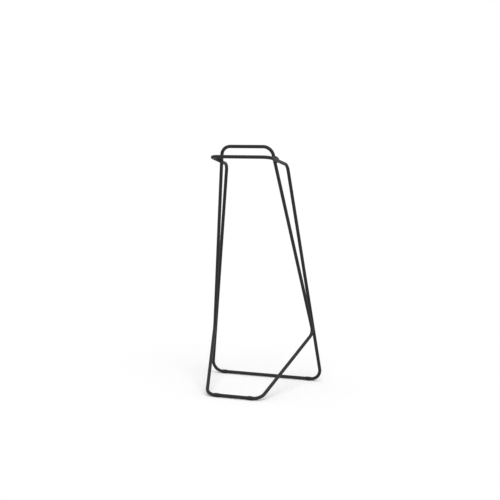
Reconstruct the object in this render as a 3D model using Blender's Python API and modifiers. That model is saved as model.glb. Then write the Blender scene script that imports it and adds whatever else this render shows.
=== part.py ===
# Free-standing storage rack that holds one bicycle by its top tube.
# Two closed loops of round steel rod are nested and welded where they touch.
# The rear frame stands on the rear floor bar, rises to two knees and turns forward to the front bar.
# The front frame stands on the short front floor bar, rises to two kinks that lie against the rear
# frame's legs, and goes on up, inside the rear frame's arms, to the back bar.
# The front bar, the arms and the back bar form the cradle for the top tube.
# Metres, +Z up, the front at -Y, the floor at z = 0, the rack symmetric about x = 0.

import math

import bmesh
import bpy
from mathutils import Matrix, Vector
from mathutils.geometry import intersect_line_line, intersect_point_line

# Rod and welds
ROD_DIAMETER = 0.0127
ROD_SIDES = 20
BEND_STEP = math.radians(6.5)
CLEARANCE = 0.0003
WELD_WEB = 0.0002
UPPER_WELD_WIDTH = 0.0150
UPPER_WELD_LENGTH = 0.0180
LOWER_WELD_WIDTH = 0.0108
LOWER_WELD_LENGTH = 0.0280

# From the front floor bar to the rear floor bar
FLOOR_DEPTH = 0.364

# Rear frame, all widths from corner to corner along the rod's centre line
REAR_FLOOR_WIDTH = 0.458
KNEE_WIDTH = 0.243
KNEE_Y = 0.068
KNEE_HEIGHT = 0.847
FRONT_BAR_WIDTH = 0.230
FRONT_BAR_Y = -0.115
FRONT_BAR_HEIGHT = 0.881

# Front frame
FRONT_FLOOR_WIDTH = 0.210
KINK_HEIGHT = 0.199
BACK_BAR_Y = -0.043
BACK_BAR_RISE = 0.036

# Radii of the bends on the centre line
REAR_FLOOR_BEND = 0.039
KNEE_BEND = 0.030
FRONT_BAR_BEND = 0.028
FRONT_FLOOR_BEND = 0.039
KINK_BEND = 0.030
BACK_BAR_BEND = 0.037

# Rubber feet, sleeves on the two floor bars
FOOT_DIAMETER = 0.0155
FOOT_LENGTH = 0.018
FOOT_ROUNDING = 0.0010
FOOT_SETBACK = 0.0005
FOOT_SIDES = 24

ROD_RADIUS = ROD_DIAMETER / 2
ROD_SPACING = ROD_DIAMETER + 2 * CLEARANCE + WELD_WEB
REAR_FLOOR_Y = FLOOR_DEPTH / 2
FRONT_FLOOR_Y = -FLOOR_DEPTH / 2
FLOOR_BAR_HEIGHT = FOOT_DIAMETER / 2
BACK_BAR_HEIGHT = FRONT_BAR_HEIGHT + BACK_BAR_RISE


# Scene

def clear_scene():
    for old in list(bpy.data.objects):
        bpy.data.objects.remove(old)


def new_collection(name):
    collection = bpy.data.collections.new(name)
    bpy.context.scene.collection.children.link(collection)
    return collection


def new_material(name, colour, roughness, metallic):
    material = bpy.data.materials.new(name)
    material.use_nodes = True
    shader = material.node_tree.nodes["Principled BSDF"]
    shader.inputs["Base Color"].default_value = (*colour, 1.0)
    shader.inputs["Roughness"].default_value = roughness
    shader.inputs["Metallic"].default_value = metallic
    return material


# Rod paths, each the half at +X of a symmetric loop

def bend_reach(before, corner, after, radius):
    turn = (corner - before).angle(after - corner)
    return radius * math.tan(turn / 2)


def bend_points(before, corner, after, radius):
    travel = (corner - before).normalized()
    leaving = (after - corner).normalized()
    turn = travel.angle(leaving)
    centre = corner + (leaving - travel).normalized() * radius / math.cos(turn / 2)
    start = corner - travel * bend_reach(before, corner, after, radius) - centre
    steps = max(3, round(turn / BEND_STEP))
    angles = [turn * step / steps for step in range(steps + 1)]
    return [centre + start * math.cos(a) + travel * radius * math.sin(a) for a in angles]


def bent_path(corners, bends):
    path = [corners[0]]
    for before, corner, after, radius in zip(corners, corners[1:], corners[2:], bends):
        path += bend_points(before, corner, after, radius)
    path.append(corners[-1])
    return path


def on_centre_plane(corner):
    return Vector((0, corner.y, corner.z))


def rear_corners():
    front_bar = Vector((FRONT_BAR_WIDTH / 2, FRONT_BAR_Y, FRONT_BAR_HEIGHT))
    knee = Vector((KNEE_WIDTH / 2, KNEE_Y, KNEE_HEIGHT))
    floor = Vector((REAR_FLOOR_WIDTH / 2, REAR_FLOOR_Y, FLOOR_BAR_HEIGHT))
    return [on_centre_plane(front_bar), front_bar, knee, floor, on_centre_plane(floor)]


def front_corners(back_bar_x, kink):
    back_bar = Vector((back_bar_x, BACK_BAR_Y, BACK_BAR_HEIGHT))
    floor = Vector((FRONT_FLOOR_WIDTH / 2, FRONT_FLOOR_Y, FLOOR_BAR_HEIGHT))
    return [on_centre_plane(back_bar), back_bar, kink, floor, on_centre_plane(floor)]


# Where the front frame touches the rear frame

def arm_contact(rear, front):
    on_arm, on_leg = intersect_line_line(rear[1], rear[2], front[1], front[2])
    return on_arm, on_leg


def kink_contact(rear, front):
    pairs = []
    for point in bend_points(*front[1:4], KINK_BEND):
        on_rear_leg, _ = intersect_point_line(point, rear[2], rear[3])
        pairs.append((on_rear_leg, point))
    return min(pairs, key=lambda pair: (pair[0] - pair[1]).length)


# The kink starts in front of the rear leg and moves back until its bend meets the leg.
# The back bar's corner moves out until the straight leg below it meets the arm.
def nested_front_corners(rear):
    knee, floor = rear[2], rear[3]
    drop = (knee.z - KINK_HEIGHT) / (knee.z - floor.z)
    kink = knee.lerp(floor, drop) - Vector((0, 3 * ROD_DIAMETER, 0))
    back_bar_x = FRONT_BAR_WIDTH / 2 - 2 * ROD_DIAMETER
    for _ in range(40):
        front = front_corners(back_bar_x, kink)
        on_rear_leg, on_bend = kink_contact(rear, front)
        kink = kink + Vector((0, (on_rear_leg - on_bend).length - ROD_SPACING, 0))
        on_arm, on_leg = arm_contact(rear, front)
        back_bar_x += (on_arm - on_leg).length - ROD_SPACING
    return front_corners(back_bar_x, kink)


# Solids

def rod_curve(name, path, radius, collection):
    curve = bpy.data.curves.new(name, "CURVE")
    curve.dimensions = "3D"
    spline = curve.splines.new("POLY")
    spline.points.add(len(path) - 1)
    for point, place in zip(spline.points, path):
        point.co = (*place, 1.0)
    curve.bevel_depth = radius
    curve.bevel_resolution = ROD_SIDES // 2 - 2
    rod = bpy.data.objects.new(name, curve)
    collection.objects.link(rod)
    return rod


# A half loop made a mesh, then mirrored about x = 0 into one closed rod
def bent_rod(name, path, radius, collection):
    half = rod_curve(name + "_half", path, radius, collection)
    bpy.context.view_layer.update()
    mesh = bpy.data.meshes.new_from_object(half.evaluated_get(bpy.context.evaluated_depsgraph_get()))
    mesh.name = name
    bpy.data.objects.remove(half)
    rod = bpy.data.objects.new(name, mesh)
    collection.objects.link(rod)
    mesh.shade_smooth()
    mirror = rod.modifiers.new("other_half", "MIRROR")
    mirror.use_axis = (True, False, False)
    mirror.merge_threshold = 0.00005
    return rod


def cutting_rod(name, path, collection):
    cutter = bent_rod(name, path, ROD_RADIUS + CLEARANCE, collection)
    cutter.hide_render = True
    cutter.display_type = "WIRE"
    return cutter


# A fillet weld: an ellipsoid on the contact point, less the two rods that it joins.
# Its own Z runs along the first rod, its X from rod to rod.
def weld(name, contact, along, width, length, cutters, collection):
    on_first, on_second = contact
    across = (on_second - on_first).normalized()
    along = (along - along.project(across)).normalized()
    beside = along.cross(across)
    mesh = bpy.data.meshes.new(name)
    shape = bmesh.new()
    size = Matrix.Diagonal((ROD_RADIUS * 0.9, width / 2, length / 2, 1.0))
    bmesh.ops.create_uvsphere(shape, u_segments=24, v_segments=16, radius=1.0, matrix=size)
    shape.to_mesh(mesh)
    shape.free()
    mesh.shade_smooth()
    bead = bpy.data.objects.new(name, mesh)
    bead.location = (on_first + on_second) / 2
    bead.rotation_euler = Matrix((across, beside, along)).transposed().to_euler()
    collection.objects.link(bead)
    for cutter in cutters:
        cut = bead.modifiers.new("less_" + cutter.name, "BOOLEAN")
        cut.operation = "DIFFERENCE"
        cut.solver = "EXACT"
        cut.object = cutter
    return bead


# Outline of a foot's wall, along the floor bar and out from its centre line
def foot_outline():
    facet = math.cos(math.pi / FOOT_SIDES)
    bore = (ROD_RADIUS + CLEARANCE) / facet
    outer = FOOT_DIAMETER / 2 / facet
    half = FOOT_LENGTH / 2
    outline = [(-half, bore), (half, bore)]
    for side in (1, -1):
        for step in range(5):
            angle = math.radians(22.5 * (step if side == 1 else 4 - step))
            along = half - FOOT_ROUNDING * (1 - math.cos(angle))
            out = outer - FOOT_ROUNDING * (1 - math.sin(angle))
            outline.append((side * along, out))
    return outline


def foot_sleeve(name, x, y, collection):
    mesh = bpy.data.meshes.new(name)
    shape = bmesh.new()
    corners = [shape.verts.new((along, 0, -out)) for along, out in foot_outline()]
    for first, second in zip(corners, corners[1:] + corners[:1]):
        shape.edges.new((first, second))
    shape.to_mesh(mesh)
    shape.free()
    foot = bpy.data.objects.new(name, mesh)
    foot.location = (x, y, FLOOR_BAR_HEIGHT)
    foot.rotation_euler.x = math.pi / FOOT_SIDES
    collection.objects.link(foot)
    turn = foot.modifiers.new("turned", "SCREW")
    turn.axis = "X"
    turn.steps = FOOT_SIDES
    turn.render_steps = FOOT_SIDES
    turn.use_merge_vertices = True
    turn.merge_threshold = 0.00005
    turn.use_smooth_shade = False
    return foot


# The feet sit just inside the bends at the ends of a floor bar
def foot_place(corners, radius):
    return corners[3].x - bend_reach(*corners[2:5], radius) - FOOT_SETBACK - FOOT_LENGTH / 2


def main():
    clear_scene()
    rack = new_collection("bike_storage_rack")
    cutters = new_collection("cutters")
    coat = new_material("satin_black_powder_coat", (0.030, 0.030, 0.029), 0.45, 0.0)
    rubber = new_material("black_rubber", (0.020, 0.020, 0.020), 0.75, 0.0)

    rear = rear_corners()
    front = nested_front_corners(rear)
    rear_path = bent_path(rear, (FRONT_BAR_BEND, KNEE_BEND, REAR_FLOOR_BEND))
    front_path = bent_path(front, (BACK_BAR_BEND, KINK_BEND, FRONT_FLOOR_BEND))

    frames = [
        bent_rod("rear_frame", rear_path, ROD_RADIUS, rack),
        bent_rod("front_frame", front_path, ROD_RADIUS, rack),
    ]
    tools = [
        cutting_rod("rear_cutter", rear_path, cutters),
        cutting_rod("front_cutter", front_path, cutters),
    ]

    arm_seat = arm_contact(rear, front)
    kink_seat = kink_contact(rear, front)
    mirrored = Matrix.Diagonal((-1, 1, 1))
    for side, flip in (("right", Matrix.Identity(3)), ("left", mirrored)):
        for place, seat, along, width, length in (
            ("upper", arm_seat, rear[2] - rear[1], UPPER_WELD_WIDTH, UPPER_WELD_LENGTH),
            ("lower", kink_seat, rear[3] - rear[2], LOWER_WELD_WIDTH, LOWER_WELD_LENGTH),
        ):
            contact = [flip @ point for point in seat]
            bead = weld(f"{place}_weld_{side}", contact, flip @ along, width, length, tools, rack)
            frames.append(bead)

    for frame in frames:
        frame.data.materials.append(coat)

    for end, corners, radius in (("rear", rear, REAR_FLOOR_BEND), ("front", front, FRONT_FLOOR_BEND)):
        reach = foot_place(corners, radius)
        for side, x in (("right", reach), ("left", -reach)):
            foot = foot_sleeve(f"{end}_foot_{side}", x, corners[3].y, rack)
            foot.data.materials.append(rubber)

    on_arm, on_leg = arm_seat
    on_rear_leg, on_bend = kink_seat
    print("back bar corner to corner", round(2 * front[1].x, 4))
    print("kink corner", [round(value, 4) for value in front[2]])
    print("rods apart at the arm", round((on_arm - on_leg).length - ROD_DIAMETER, 5))
    print("rods apart at the kink", round((on_rear_leg - on_bend).length - ROD_DIAMETER, 5))


main()
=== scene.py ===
import math

import bmesh
import bpy
from mathutils import Matrix, Vector


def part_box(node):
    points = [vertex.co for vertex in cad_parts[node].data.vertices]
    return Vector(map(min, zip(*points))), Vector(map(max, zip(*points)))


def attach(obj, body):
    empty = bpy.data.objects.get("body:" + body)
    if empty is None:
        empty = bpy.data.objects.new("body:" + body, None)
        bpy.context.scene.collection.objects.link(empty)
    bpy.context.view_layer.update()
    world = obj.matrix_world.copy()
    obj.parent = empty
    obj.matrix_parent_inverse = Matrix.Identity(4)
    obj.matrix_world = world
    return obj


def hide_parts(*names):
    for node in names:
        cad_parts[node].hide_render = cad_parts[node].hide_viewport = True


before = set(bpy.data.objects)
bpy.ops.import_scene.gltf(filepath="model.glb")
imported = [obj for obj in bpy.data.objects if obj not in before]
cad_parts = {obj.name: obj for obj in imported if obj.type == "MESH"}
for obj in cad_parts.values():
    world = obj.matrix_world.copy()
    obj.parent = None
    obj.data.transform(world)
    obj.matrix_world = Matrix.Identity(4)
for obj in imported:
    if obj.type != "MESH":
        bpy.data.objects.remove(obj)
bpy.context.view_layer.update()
print("frame loaded:", ", ".join(sorted(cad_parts)))


# Helpers

def deselectAll():
    bpy.ops.object.select_all(action="DESELECT")


def activate(piece):
    deselectAll()
    piece.select_set(True)
    bpy.context.view_layer.objects.active = piece


def applyPlace(piece):
    activate(piece)
    bpy.ops.object.transform_apply(location=True, rotation=True, scale=True)


def applyModifier(piece, modifier):
    activate(piece)
    bpy.ops.object.modifier_apply(modifier=modifier.name)


def ownCopy(piece, name):
    activate(piece)
    bpy.ops.object.duplicate(linked=False)
    copy = bpy.context.object
    copy.name = name
    copy.data.name = name
    return copy


# Rods: a ring at the centre plane, extruded along each straight and spun round each bend,
# then mirrored into a closed loop. Corners are those of the rod's centre line on the right
# half, in metres, from the top bar down to the floor bar, with the radius of each bend

rearRod = {
    "corners": [(0.1150, -0.1150, 0.8810), (0.1215, 0.0680, 0.8470), (0.2290, 0.1820, 0.00775)],
    "bends": [0.028, 0.030, 0.039],
}
frontRod = {
    "corners": [(0.0966, -0.0430, 0.9170), (0.2045, 0.1451, 0.1990), (0.1050, -0.1820, 0.00775)],
    "bends": [0.037, 0.030, 0.039],
}
rodSection = {
    "radius": 0.00635,
    "sides": 32,
    "bendStep": math.radians(5),
    "fewestBendSteps": 3,
    "mirrorMerge": 0.00005,
    "merge": 0.00001,
}


def bendAt(before, corner, after, radius):
    arriving = (corner - before).normalized()
    leaving = (after - corner).normalized()
    turn = arriving.angle(leaving)
    reach = radius * math.tan(turn / 2)
    return {
        "start": corner - arriving * reach,
        "end": corner + leaving * reach,
        "centre": corner + (leaving - arriving).normalized() * radius / math.cos(turn / 2),
        "axis": arriving.cross(leaving).normalized(),
        "turn": turn,
    }


def extrudeRing(step):
    bpy.ops.mesh.extrude_region_move(TRANSFORM_OT_translate={"value": step})


def spinRing(bend):
    steps = max(rodSection["fewestBendSteps"], round(bend["turn"] / rodSection["bendStep"]))
    bpy.ops.mesh.spin(
        steps=steps,
        angle=-bend["turn"],
        center=bend["centre"],
        axis=bend["axis"],
        use_auto_merge=False,
    )


def makeRod(name, shape):
    corners = [Vector(corner) for corner in shape["corners"]]
    first, last = corners[0], corners[-1]
    path = [Vector((0, first.y, first.z)), *corners, Vector((0, last.y, last.z))]
    deselectAll()
    bpy.ops.mesh.primitive_circle_add(
        vertices=rodSection["sides"],
        radius=rodSection["radius"],
        location=path[0],
        rotation=(0, math.pi / 2, 0),
    )
    rod = bpy.context.object
    rod.name = name
    rod.data.name = name
    applyPlace(rod)
    bpy.ops.object.mode_set(mode="EDIT")
    bpy.ops.mesh.select_all(action="SELECT")
    here = path[0]
    for before, corner, after, radius in zip(path, path[1:], path[2:], shape["bends"]):
        bend = bendAt(before, corner, after, radius)
        extrudeRing(bend["start"] - here)
        spinRing(bend)
        here = bend["end"]
    extrudeRing(path[-1] - here)
    bpy.ops.object.mode_set(mode="OBJECT")
    mirror = rod.modifiers.new("otherHalf", "MIRROR")
    mirror.use_axis = (True, False, False)
    mirror.merge_threshold = rodSection["mirrorMerge"]
    applyModifier(rod, mirror)
    bpy.ops.object.mode_set(mode="EDIT")
    bpy.ops.mesh.select_all(action="SELECT")
    bpy.ops.mesh.remove_doubles(threshold=rodSection["merge"])
    bpy.ops.mesh.normals_make_consistent(inside=False)
    bpy.ops.object.mode_set(mode="OBJECT")
    bpy.ops.object.shade_smooth()
    return rod


# The largest distance between a side of the piece's box and the same side of its node's
def offBox(piece, node):
    low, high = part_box(node)
    offs = []
    for axis in range(3):
        reach = [corner[axis] for corner in piece.bound_box]
        offs += [abs(min(reach) - low[axis]), abs(max(reach) - high[axis])]
    return max(offs)


rearFrame = makeRod("rearFrameRod", rearRod)
frontFrame = makeRod("frontFrameRod", frontRod)
for rod, node in ((rearFrame, "rear_frame"), (frontFrame, "front_frame")):
    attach(rod, "root")
    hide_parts(node)
    print(rod.name, len(rod.data.vertices), "vertices, off the CAD box by", round(offBox(rod, node), 5))
print("rods made")


# Welds: an ellipsoid for each run of bead, rippled along its length, then cut to the two rods

weldBead = {
    "segments": 32,
    "smoothLevels": 1,
    "plainRings": 2,  # rings at each end that have no ripple
    "smoothAngle": math.radians(40),
}

# Half sizes are across, sideways and along the run
weldRuns = {
    "upper": [
        {
            "halfSize": (0.0057, 0.0074, 0.0089),
            "rings": 26,
            "rippleDepth": 0.13,
            "place": (0.11138, -0.02892, 0.86403),
            "across": (-0.9892, 0.0079, -0.1466),
            "along": (0.0349, 0.9826, -0.1826),
        },
        {  # the corner on top of the arm, up against the front frame's leg
            "halfSize": (0.0062, 0.0068, 0.0116),
            "rings": 22,
            "rippleDepth": 0.05,
            "place": (0.11340, -0.03150, 0.87400),
            "across": (0.7110, 0.0, 0.7030),
            "along": (0.7030, 0.0, -0.7110),
        },
    ],
    "lower": [
        {
            "halfSize": (0.0057, 0.0053, 0.0139),
            "rings": 38,
            "rippleDepth": 0.13,
            "place": (0.20162, 0.14642, 0.21958),
            "across": (-0.0195, -0.9904, -0.1370),
            "along": (0.1259, 0.1335, -0.9830),
        },
    ],
}


def rippleRings(bead, depth):
    bpy.ops.object.mode_set(mode="EDIT")
    bpy.ops.mesh.select_all(action="DESELECT")
    mesh = bmesh.from_edit_mesh(bead.data)
    plain = weldBead["plainRings"]
    heights = sorted({round(vertex.co.z, 5) for vertex in mesh.verts})
    hollows = set(heights[plain:-plain:2])
    for vertex in mesh.verts:
        vertex.select = round(vertex.co.z, 5) in hollows
    mesh.select_flush_mode()
    bmesh.update_edit_mesh(bead.data)
    bpy.ops.transform.resize(value=(1 - depth, 1 - depth, 1), center_override=(0, 0, 0))
    bpy.ops.object.mode_set(mode="OBJECT")


def combine(piece, other, operation):
    modifier = piece.modifiers.new("with" + other.name, "BOOLEAN")
    modifier.operation = operation
    modifier.solver = "EXACT"
    modifier.object = other
    applyModifier(piece, modifier)


def makeRun(name, run):
    deselectAll()
    bpy.ops.mesh.primitive_uv_sphere_add(
        segments=weldBead["segments"],
        ring_count=run["rings"],
        radius=1.0,
        location=(0, 0, 0),
    )
    bead = bpy.context.object
    bead.name = name
    bead.data.name = name
    rippleRings(bead, run["rippleDepth"])
    smooth = bead.modifiers.new("smooth", "SUBSURF")
    smooth.levels = weldBead["smoothLevels"]
    smooth.render_levels = weldBead["smoothLevels"]
    applyModifier(bead, smooth)
    across = Vector(run["across"]).normalized()
    along = Vector(run["along"]).normalized()
    turn = Matrix((across, along.cross(across), along)).transposed()
    bead.scale = run["halfSize"]
    bead.rotation_euler = turn.to_euler()
    bead.location = run["place"]
    applyPlace(bead)
    return bead


def makeWeld(name, runs):
    weld = makeRun(name, runs[0])
    for run in runs[1:]:
        more = makeRun(name + "More", run)
        combine(weld, more, "UNION")
        bpy.data.objects.remove(more)
    for rod in (rearFrame, frontFrame):
        combine(weld, rod, "DIFFERENCE")
    activate(weld)
    bpy.ops.object.shade_smooth_by_angle(angle=weldBead["smoothAngle"])
    return weld


def mirroredCopy(piece, name):
    copy = ownCopy(piece, name)
    bpy.ops.object.mode_set(mode="EDIT")
    bpy.ops.mesh.select_all(action="SELECT")
    bpy.ops.transform.resize(value=(-1, 1, 1), center_override=(0, 0, 0))
    bpy.ops.mesh.normals_make_consistent(inside=False)
    bpy.ops.object.mode_set(mode="OBJECT")
    return copy


welds = []
for place, runs in weldRuns.items():
    rightWeld = makeWeld(place + "WeldRight", runs)
    leftWeld = mirroredCopy(rightWeld, place + "WeldLeft")
    for weld, node in ((rightWeld, place + "_weld_right"), (leftWeld, place + "_weld_left")):
        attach(weld, "root")
        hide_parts(node)
        welds.append(weld)
        print(weld.name, len(weld.data.vertices), "vertices")
print("welds made")


# Feet: a rubber sleeve on the floor bar, crowned in the middle and rounded at both ends

footSleeve = {
    "radius": 0.00775,
    "bore": 0.00638,
    "length": 0.018,
    "sides": 48,
    "endFacing": 0.9,  # a face whose normal has more of the length than this is an end
    "endRounding": 0.0010,
    "roundingSegments": 5,
    "crown": 0.00015,  # the ends are this much slimmer than the middle
    "crownFrom": 0.45,  # share of the half length
    "cuts": (-0.5, 0, 0.5),  # shares of the half length
    "near": 0.0001,  # tells one ring from the next
    "merge": 0.000005,
    "smoothAngle": math.radians(35),
}
footPlaces = {
    "rear": (0.17524, 0.182),
    "front": (0.06542, -0.182),
}


def selectByPlace(piece, kind, test):
    bpy.ops.mesh.select_mode(type=kind)
    bpy.ops.mesh.select_all(action="DESELECT")
    mesh = bmesh.from_edit_mesh(piece.data)
    parts = {"VERT": mesh.verts, "EDGE": mesh.edges, "FACE": mesh.faces}[kind]
    for part in parts:
        if test(part):
            part.select_set(True)
    bmesh.update_edit_mesh(piece.data)


def isEnd(face):
    return abs(face.normal.x) > footSleeve["endFacing"]


def isEndDisc(face):
    return isEnd(face) and face.calc_center_median().yz.length < footSleeve["near"]


def isRim(edge):
    first, second = (vertex.co for vertex in edge.verts)
    offWall = max(abs(place.yz.length - footSleeve["radius"]) for place in (first, second))
    offEnd = abs(abs(first.x + second.x) / 2 - footSleeve["length"] / 2)
    return max(offWall, offEnd) < footSleeve["near"]


def isOuterAndBeyond(vertex, beyond):
    outer = vertex.co.yz.length > footSleeve["bore"] + footSleeve["near"]
    return outer and vertex.co.x / beyond > 1


def makeSleeve():
    radius, half = footSleeve["radius"], footSleeve["length"] / 2
    deselectAll()
    bpy.ops.mesh.primitive_cylinder_add(
        vertices=footSleeve["sides"],
        radius=radius,
        depth=footSleeve["length"],
        location=(0, 0, 0),
        rotation=(0, math.pi / 2, 0),
    )
    sleeve = bpy.context.object
    applyPlace(sleeve)
    bpy.ops.object.mode_set(mode="EDIT")
    selectByPlace(sleeve, "FACE", isEnd)
    bpy.ops.mesh.inset(thickness=radius - footSleeve["bore"], use_even_offset=True)
    selectByPlace(sleeve, "FACE", isEndDisc)
    bpy.ops.mesh.delete(type="ONLY_FACE")
    selectByPlace(sleeve, "EDGE", lambda edge: edge.is_boundary)
    bpy.ops.mesh.bridge_edge_loops()
    selectByPlace(sleeve, "EDGE", isRim)
    bpy.ops.mesh.bevel(
        offset=footSleeve["endRounding"],
        segments=footSleeve["roundingSegments"],
        affect="EDGES",
    )
    for cut in footSleeve["cuts"]:
        bpy.ops.mesh.select_all(action="SELECT")
        bpy.ops.mesh.bisect(plane_co=(cut * half, 0, 0), plane_no=(1, 0, 0))
    slimmer = 1 - footSleeve["crown"] / radius
    for side in (-1, 1):
        beyond = side * half * footSleeve["crownFrom"]
        selectByPlace(sleeve, "VERT", lambda vertex: isOuterAndBeyond(vertex, beyond))
        bpy.ops.transform.resize(value=(1, slimmer, slimmer), center_override=(0, 0, 0))
    bpy.ops.mesh.select_all(action="SELECT")
    bpy.ops.mesh.remove_doubles(threshold=footSleeve["merge"])
    bpy.ops.mesh.normals_make_consistent(inside=False)
    bpy.ops.object.mode_set(mode="OBJECT")
    bpy.ops.object.shade_smooth_by_angle(angle=footSleeve["smoothAngle"])
    return sleeve


sleeve = makeSleeve()
feet = []
for end, (x, y) in footPlaces.items():
    for side, sign in (("right", 1), ("left", -1)):
        foot = ownCopy(sleeve, end + "Foot" + side.capitalize())
        foot.location = (sign * x, y, footSleeve["radius"])
        applyPlace(foot)
        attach(foot, "root")
        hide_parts(end + "_foot_" + side)
        feet.append(foot)
        print(foot.name, len(foot.data.vertices), "vertices")
bpy.data.objects.remove(sleeve)
print("feet made")


# Materials

def newMaterial(name):
    material = bpy.data.materials.new(name)
    material.use_nodes = True
    return material, material.node_tree.nodes["Principled BSDF"]


grainSockets = {
    "INPUT": {
        "Colour": "NodeSocketColor",
        "Tone spread": "NodeSocketFloat",
        "Roughness": "NodeSocketFloat",
        "Roughness spread": "NodeSocketFloat",
        "Patches per metre": "NodeSocketFloat",
        "Grains per metre": "NodeSocketFloat",
        "Grain depth": "NodeSocketFloat",
    },
    "OUTPUT": {
        "Colour": "NodeSocketColor",
        "Roughness": "NodeSocketFloat",
        "Normal": "NodeSocketVector",
    },
}
grainPattern = {
    "turn": (0.61, 0.43, 0.87),  # so that it doesn't line up with straight rods
    "patchDetail": 3.0,
    "grainDetail": 2.0,
    "middle": 0.5,
}


# Fine grain of a surface: its tone, its roughness and its texture vary together
def makeGrainGroup():
    group = bpy.data.node_groups.new("surfaceGrain", "ShaderNodeTree")
    for side, sockets in grainSockets.items():
        for name, kind in sockets.items():
            group.interface.new_socket(name=name, in_out=side, socket_type=kind)
    nodes, links = group.nodes, group.links
    given = nodes.new("NodeGroupInput")
    result = nodes.new("NodeGroupOutput")
    place = nodes.new("ShaderNodeTexCoord")

    turned = nodes.new("ShaderNodeMapping")
    turned.inputs["Rotation"].default_value = grainPattern["turn"]
    links.new(place.outputs["Object"], turned.inputs["Vector"])

    patches = nodes.new("ShaderNodeTexNoise")
    patches.inputs["Detail"].default_value = grainPattern["patchDetail"]
    links.new(turned.outputs["Vector"], patches.inputs["Vector"])
    links.new(given.outputs["Patches per metre"], patches.inputs["Scale"])

    grains = nodes.new("ShaderNodeTexNoise")
    grains.inputs["Detail"].default_value = grainPattern["grainDetail"]
    links.new(turned.outputs["Vector"], grains.inputs["Vector"])
    links.new(given.outputs["Grains per metre"], grains.inputs["Scale"])

    centred = nodes.new("ShaderNodeMath")
    centred.operation = "SUBTRACT"
    centred.inputs[1].default_value = grainPattern["middle"]
    links.new(patches.outputs["Fac"], centred.inputs[0])

    tone = nodes.new("ShaderNodeMath")
    tone.operation = "MULTIPLY_ADD"
    tone.inputs[2].default_value = 1.0
    links.new(centred.outputs[0], tone.inputs[0])
    links.new(given.outputs["Tone spread"], tone.inputs[1])

    tinted = nodes.new("ShaderNodeVectorMath")
    tinted.operation = "SCALE"
    links.new(given.outputs["Colour"], tinted.inputs[0])
    links.new(tone.outputs[0], tinted.inputs["Scale"])

    rough = nodes.new("ShaderNodeMath")
    rough.operation = "MULTIPLY_ADD"
    links.new(centred.outputs[0], rough.inputs[0])
    links.new(given.outputs["Roughness spread"], rough.inputs[1])
    links.new(given.outputs["Roughness"], rough.inputs[2])

    bump = nodes.new("ShaderNodeBump")
    links.new(grains.outputs["Fac"], bump.inputs["Height"])
    links.new(given.outputs["Grain depth"], bump.inputs["Distance"])

    links.new(tinted.outputs[0], result.inputs["Colour"])
    links.new(rough.outputs[0], result.inputs["Roughness"])
    links.new(bump.outputs["Normal"], result.inputs["Normal"])
    return group


grainGroup = makeGrainGroup()

powderCoat = {
    "specular": 0.20,
    "grain": {
        "Colour": (0.0165, 0.0165, 0.0158, 1.0),
        "Tone spread": 0.5,
        "Roughness": 0.50,
        "Roughness spread": 0.16,
        "Patches per metre": 55.0,
        "Grains per metre": 850.0,
        "Grain depth": 0.00006,
    },
}
footRubber = {
    "specular": 0.3,
    "grain": {
        "Colour": (0.0150, 0.0150, 0.0147, 1.0),
        "Tone spread": 0.4,
        "Roughness": 0.78,
        "Roughness spread": 0.10,
        "Patches per metre": 120.0,
        "Grains per metre": 1600.0,
        "Grain depth": 0.00008,
    },
}


def grainyMaterial(name, finish):
    material, shader = newMaterial(name)
    nodes, links = material.node_tree.nodes, material.node_tree.links
    grain = nodes.new("ShaderNodeGroup")
    grain.node_tree = grainGroup
    for socket, value in finish["grain"].items():
        grain.inputs[socket].default_value = value
    shader.inputs["Specular IOR Level"].default_value = finish["specular"]
    shader.inputs["Metallic"].default_value = 0.0
    links.new(grain.outputs["Colour"], shader.inputs["Base Color"])
    links.new(grain.outputs["Roughness"], shader.inputs["Roughness"])
    links.new(grain.outputs["Normal"], shader.inputs["Normal"])
    return material


def dress(pieces, material):
    for piece in pieces:
        piece.data.materials.clear()
        piece.data.materials.append(material)


dress((rearFrame, frontFrame, *welds), grainyMaterial("satinBlackPowderCoat", powderCoat))
dress(feet, grainyMaterial("blackRubber", footRubber))
print("materials made")


# Floor, light and camera

studio = {
    "floorSize": 60.0,
    "floorTone": 0.95,
    "floorRoughness": 0.9,
    "floorGlow": 0.055,  # what the lit floor lacks to be white to the camera
    "skyLight": 0.55,
    "keyFrom": (1.2, -1.8, 3.0),
    "keySpread": math.radians(50),
    "keyPower": 1.75,
}
camera = {
    "place": (1.35410, -3.71162, 0.98943),
    "turn": (83.3448, -0.0613, 20.0799),  # degrees
    "lens": 76.040,
    "sensor": 36.0,
}


# One for what the camera sees directly, in a reflection or through something, otherwise nought
def seenDirectly(nodes, links):
    rays = nodes.new("ShaderNodeLightPath")
    seen = rays.outputs["Is Camera Ray"]
    for kind in ("Is Glossy Ray", "Is Transmission Ray"):
        either = nodes.new("ShaderNodeMath")
        either.operation = "MAXIMUM"
        links.new(seen, either.inputs[0])
        links.new(rays.outputs[kind], either.inputs[1])
        seen = either.outputs[0]
    return seen


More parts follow.
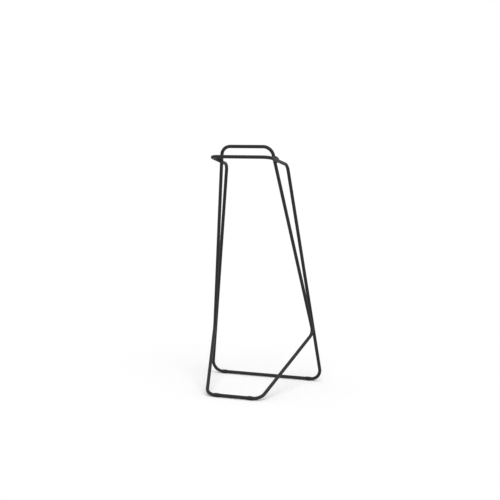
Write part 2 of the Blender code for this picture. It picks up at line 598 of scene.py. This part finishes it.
def makeFloor():
    deselectAll()
    bpy.ops.mesh.primitive_plane_add(size=studio["floorSize"], location=(0, 0, 0))
    floor = bpy.context.object
    floor.name = "floor"
    material, shader = newMaterial("paleFloor")
    nodes, links = material.node_tree.nodes, material.node_tree.links
    shader.inputs["Base Color"].default_value = (*[studio["floorTone"]] * 3, 1.0)
    shader.inputs["Roughness"].default_value = studio["floorRoughness"]
    shader.inputs["Specular IOR Level"].default_value = 0.0
    strength = nodes.new("ShaderNodeMath")
    strength.operation = "MULTIPLY"
    strength.inputs[1].default_value = studio["floorGlow"]
    glow = nodes.new("ShaderNodeEmission")
    both = nodes.new("ShaderNodeAddShader")
    links.new(seenDirectly(nodes, links), strength.inputs[0])
    links.new(strength.outputs[0], glow.inputs["Strength"])
    links.new(shader.outputs["BSDF"], both.inputs[0])
    links.new(glow.outputs["Emission"], both.inputs[1])
    links.new(both.outputs["Shader"], nodes["Material Output"].inputs["Surface"])
    floor.data.materials.append(material)


def makeWorld():
    world = bpy.data.worlds.new("studio")
    bpy.context.scene.world = world
    world.use_nodes = True
    nodes, links = world.node_tree.nodes, world.node_tree.links
    background = nodes["Background"]
    background.inputs["Color"].default_value = (1.0, 1.0, 1.0, 1.0)
    strength = nodes.new("ShaderNodeMix")
    strength.data_type = "FLOAT"
    strength.inputs["A"].default_value = studio["skyLight"]
    strength.inputs["B"].default_value = 1.0
    links.new(seenDirectly(nodes, links), strength.inputs["Factor"])
    links.new(strength.outputs["Result"], background.inputs["Strength"])


# Like a broad, far softbox above the front right, so that it lights the floor evenly
def makeKeyLight():
    data = bpy.data.lights.new("keyLight", "SUN")
    data.angle = studio["keySpread"]
    data.energy = studio["keyPower"]
    light = bpy.data.objects.new("keyLight", data)
    bpy.context.scene.collection.objects.link(light)
    light.location = studio["keyFrom"]
    light.rotation_euler = Vector(studio["keyFrom"]).to_track_quat("Z", "Y").to_euler()


def makeCamera():
    data = bpy.data.cameras.new("camera")
    data.lens = camera["lens"]
    data.sensor_width = camera["sensor"]
    view = bpy.data.objects.new("camera", data)
    bpy.context.scene.collection.objects.link(view)
    view.location = camera["place"]
    view.rotation_euler = [math.radians(angle) for angle in camera["turn"]]
    bpy.context.scene.camera = view


makeFloor()
makeWorld()
makeKeyLight()
makeCamera()
bpy.context.scene.view_settings.view_transform = "Standard"
print("floor, light and camera made")
